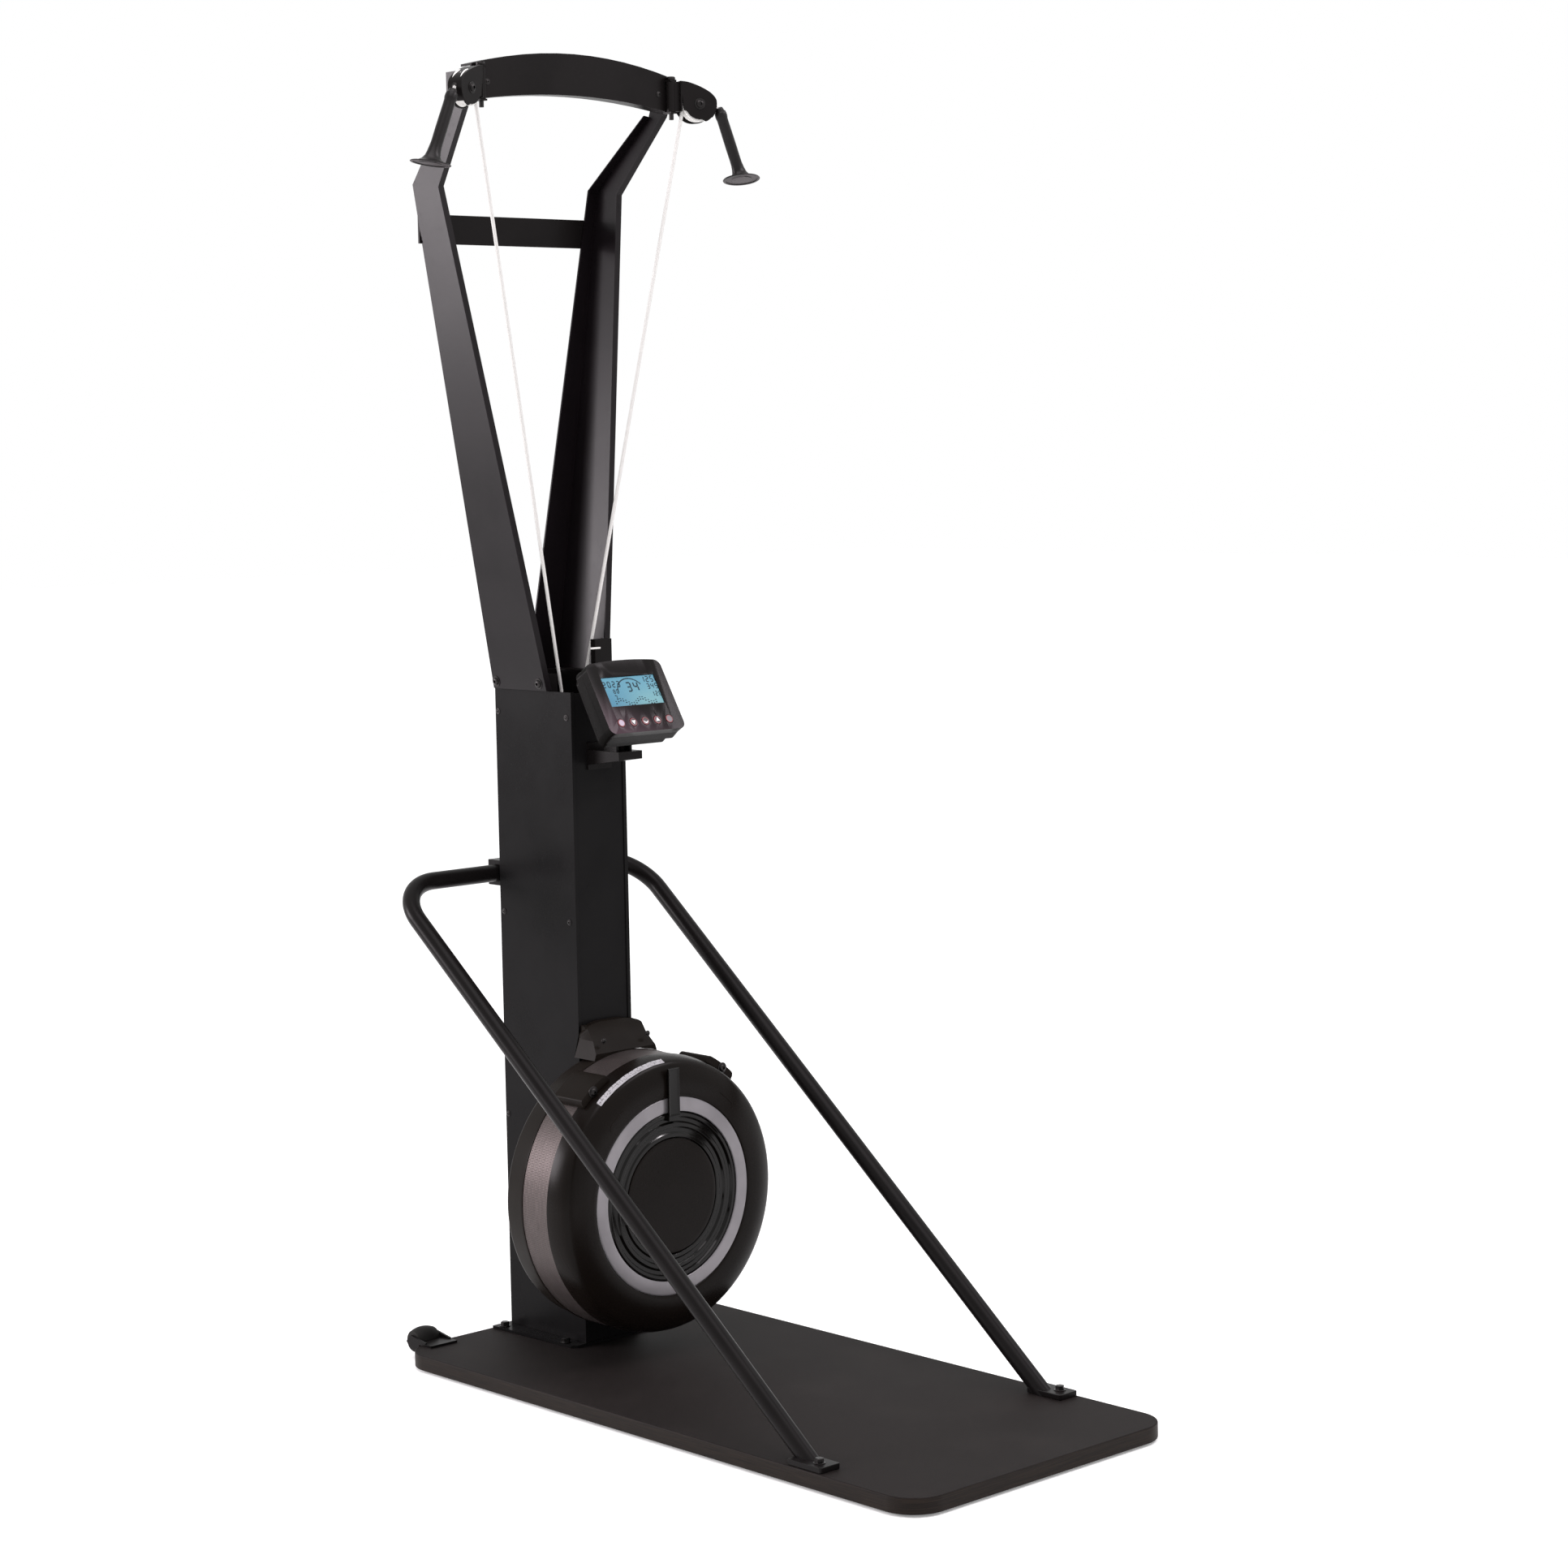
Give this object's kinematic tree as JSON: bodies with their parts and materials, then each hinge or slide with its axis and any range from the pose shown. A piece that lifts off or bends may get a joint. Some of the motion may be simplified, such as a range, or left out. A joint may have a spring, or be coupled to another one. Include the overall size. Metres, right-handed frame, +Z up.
{
  "type": "ski trainer machine",
  "caption": "Standing ski trainer: air flywheel in a fan housing on a column, flared arms with cord pulleys and pull handles, tilting monitor, side bars and a platform with transport wheels.",
  "frame": {"origin": "on the floor under the middle of the platform board, between its left and right edges and between its front and rear edges", "axes": "+Z up; +X toward the right hand of a user who stands on the platform and looks at the monitor; +Y from the user toward the column"},
  "size_m": [0.7482, 1.2812, 2.2185],
  "materials": {
    "black_steel": "satin black powder coat with a fine texture",
    "platform_board": "pressed board, charcoal grained top, dark striated edge",
    "foot_rubber": "matt black",
    "dark_pin_steel": "blackened steel, slight sheen",
    "bright_steel": "ground steel",
    "flywheel_metal": "plain sheet",
    "white_nylon": "white nylon",
    "white_cord": "braided white cord",
    "elastic_cord": "black braided sleeve over elastic",
    "handle_plastic": "dark grained plastic grip",
    "wheel_rubber": "satin black",
    "fan_plastic": "satin black moulding",
    "dial_plastic": "glossy black moulding",
    "silver_plastic": "satin silver",
    "screen_metal": "fine perforated grey sheet",
    "monitor_plastic": "satin dark grey moulding",
    "display_glass": "pale blue display behind a clear window",
    "button_plastic": "white key with a red rim"
  },
  "bodies": {
    "frame": {"platform_board": "platform_board", "foot_strip_front": "foot_rubber", "foot_strip_middle": "foot_rubber", "foot_strip_rear": "foot_rubber", "column_base_plate": "black_steel", "column_frame": "black_steel", "side_cover_left": "black_steel", "side_cover_right": "black_steel", "column_front_cover": "black_steel", "arm_mount_block": "black_steel", "arm_left": "black_steel", "arm_right": "black_steel", "lower_crossbar": "black_steel", "top_arch_beam": "black_steel", "hinge_pin_left": "dark_pin_steel", "hinge_pin_right": "dark_pin_steel", "cord_left_lower": "white_cord", "cord_right_lower": "white_cord", "support_bar_left": "black_steel", "support_bar_right": "black_steel", "bar_clamp": "black_steel", "wheel_bracket_left": "black_steel", "wheel_bracket_right": "black_steel", "fan_rear_cover": "fan_plastic", "fan_screen": "screen_metal", "fan_front_cover": "fan_plastic", "fan_ring": "silver_plastic", "hub_disc": "dial_plastic", "damper_scale": "silver_plastic", "bearing_front": "bright_steel", "bearing_rear": "bright_steel", "return_cord": "elastic_cord", "column_shroud": "fan_plastic", "monitor_arm": "monitor_plastic", "cord_guide": "monitor_plastic"},
    "flywheel": {"flywheel": "flywheel_metal", "flywheel_axle": "bright_steel"},
    "damper": {"damper_dial": "dial_plastic"},
    "drum_left": {"cord_drum_left": "white_nylon"},
    "drum_right": {"cord_drum_right": "white_nylon"},
    "hood_left": {"pulley_hood_left": "black_steel", "cord_left_upper": "white_cord"},
    "hood_right": {"pulley_hood_right": "black_steel", "cord_right_upper": "white_cord"},
    "pulley_left": {"cord_pulley_left": "white_nylon"},
    "pulley_right": {"cord_pulley_right": "white_nylon"},
    "handle_left": {"handle_left": "handle_plastic"},
    "handle_right": {"handle_right": "handle_plastic"},
    "wheel_left": {"transport_wheel_left": "wheel_rubber"},
    "wheel_right": {"transport_wheel_right": "wheel_rubber"},
    "monitor": {"monitor_front": "monitor_plastic", "monitor_rear": "monitor_plastic", "monitor_screen": "display_glass"},
    "button_1": {"button_1": "button_plastic"},
    "button_2": {"button_2": "button_plastic"},
    "button_3": {"button_3": "button_plastic"},
    "button_4": {"button_4": "button_plastic"},
    "button_5": {"button_5": "button_plastic"}
  },
  "joints": [
    {"name": "flywheel_spin", "type": "hinge", "parent": "frame", "child": "flywheel", "pos_m": [0, 0.3, 0.3077], "axis": [0, -1, 0], "continuous": true},
    {"name": "damper_turn", "type": "hinge", "parent": "frame", "child": "damper", "pos_m": [0, 0.235, 0.3077], "axis": [0, -1, 0], "range_deg": [0, 40]},
    {"name": "drum_spin_left", "type": "hinge", "parent": "frame", "child": "drum_left", "pos_m": [0, 0.461, 0.3077], "axis": [0, -1, 0], "continuous": true},
    {"name": "drum_spin_right", "type": "hinge", "parent": "frame", "child": "drum_right", "pos_m": [0, 0.485, 0.3077], "axis": [0, -1, 0], "continuous": true},
    {"name": "hood_swing_left", "type": "hinge", "parent": "frame", "child": "hood_left", "pos_m": [-0.2065, 0.4114, 2.147], "axis": [0, 0, 1], "range_deg": [-15, 60]},
    {"name": "hood_swing_right", "type": "hinge", "parent": "frame", "child": "hood_right", "pos_m": [0.2065, 0.4114, 2.147], "axis": [0, 0, -1], "range_deg": [-15, 60]},
    {"name": "pulley_spin_left", "type": "hinge", "parent": "hood_left", "child": "pulley_left", "pos_m": [-0.25175, 0.39538, 2.147], "axis": [0.3338, -0.9426, 0], "continuous": true},
    {"name": "pulley_spin_right", "type": "hinge", "parent": "hood_right", "child": "pulley_right", "pos_m": [0.25175, 0.39538, 2.147], "axis": [0.3338, 0.9426, 0], "continuous": true},
    {"name": "handle_pull_left", "type": "slide", "parent": "hood_left", "child": "handle_left", "axis": [-0.3875, 0, -0.9219], "range_m": [0, 1.1], "stiffness_N_per_m": 6, "springref_m": -1.5},
    {"name": "handle_pull_right", "type": "slide", "parent": "hood_right", "child": "handle_right", "axis": [0.3875, 0, -0.9219], "range_m": [0, 1.1], "stiffness_N_per_m": 6, "springref_m": -1.5},
    {"name": "wheel_spin_left", "type": "hinge", "parent": "frame", "child": "wheel_left", "pos_m": [-0.223, 0.6412, 0.031], "axis": [1, 0, 0], "continuous": true},
    {"name": "wheel_spin_right", "type": "hinge", "parent": "frame", "child": "wheel_right", "pos_m": [0.223, 0.6412, 0.031], "axis": [1, 0, 0], "continuous": true},
    {"name": "monitor_tilt", "type": "hinge", "parent": "frame", "child": "monitor", "pos_m": [0, 0.346, 1.092], "axis": [1, 0, 0], "range_deg": [-15, 20]},
    {"name": "button_1_press", "type": "slide", "parent": "monitor", "child": "button_1", "axis": [0, 0.8562, -0.5167], "range_m": [0, 0.0011], "stiffness_N_per_m": 400, "springref_m": -0.001},
    {"name": "button_2_press", "type": "slide", "parent": "monitor", "child": "button_2", "axis": [0, 0.8562, -0.5167], "range_m": [0, 0.0011], "stiffness_N_per_m": 400, "springref_m": -0.001},
    {"name": "button_3_press", "type": "slide", "parent": "monitor", "child": "button_3", "axis": [0, 0.8562, -0.5167], "range_m": [0, 0.0011], "stiffness_N_per_m": 400, "springref_m": -0.001},
    {"name": "button_4_press", "type": "slide", "parent": "monitor", "child": "button_4", "axis": [0, 0.8562, -0.5167], "range_m": [0, 0.0011], "stiffness_N_per_m": 400, "springref_m": -0.001},
    {"name": "button_5_press", "type": "slide", "parent": "monitor", "child": "button_5", "axis": [0, 0.8562, -0.5167], "range_m": [0, 0.0011], "stiffness_N_per_m": 400, "springref_m": -0.001}
  ],
  "couplings": [
    {"joint": "pulley_spin_left", "follows": "handle_pull_left", "rad_per_m": 40.65},
    {"joint": "drum_spin_left", "follows": "handle_pull_left", "rad_per_m": 32.258},
    {"joint": "pulley_spin_right", "follows": "handle_pull_right", "rad_per_m": 40.65},
    {"joint": "drum_spin_right", "follows": "handle_pull_right", "rad_per_m": 32.258}
  ]
}
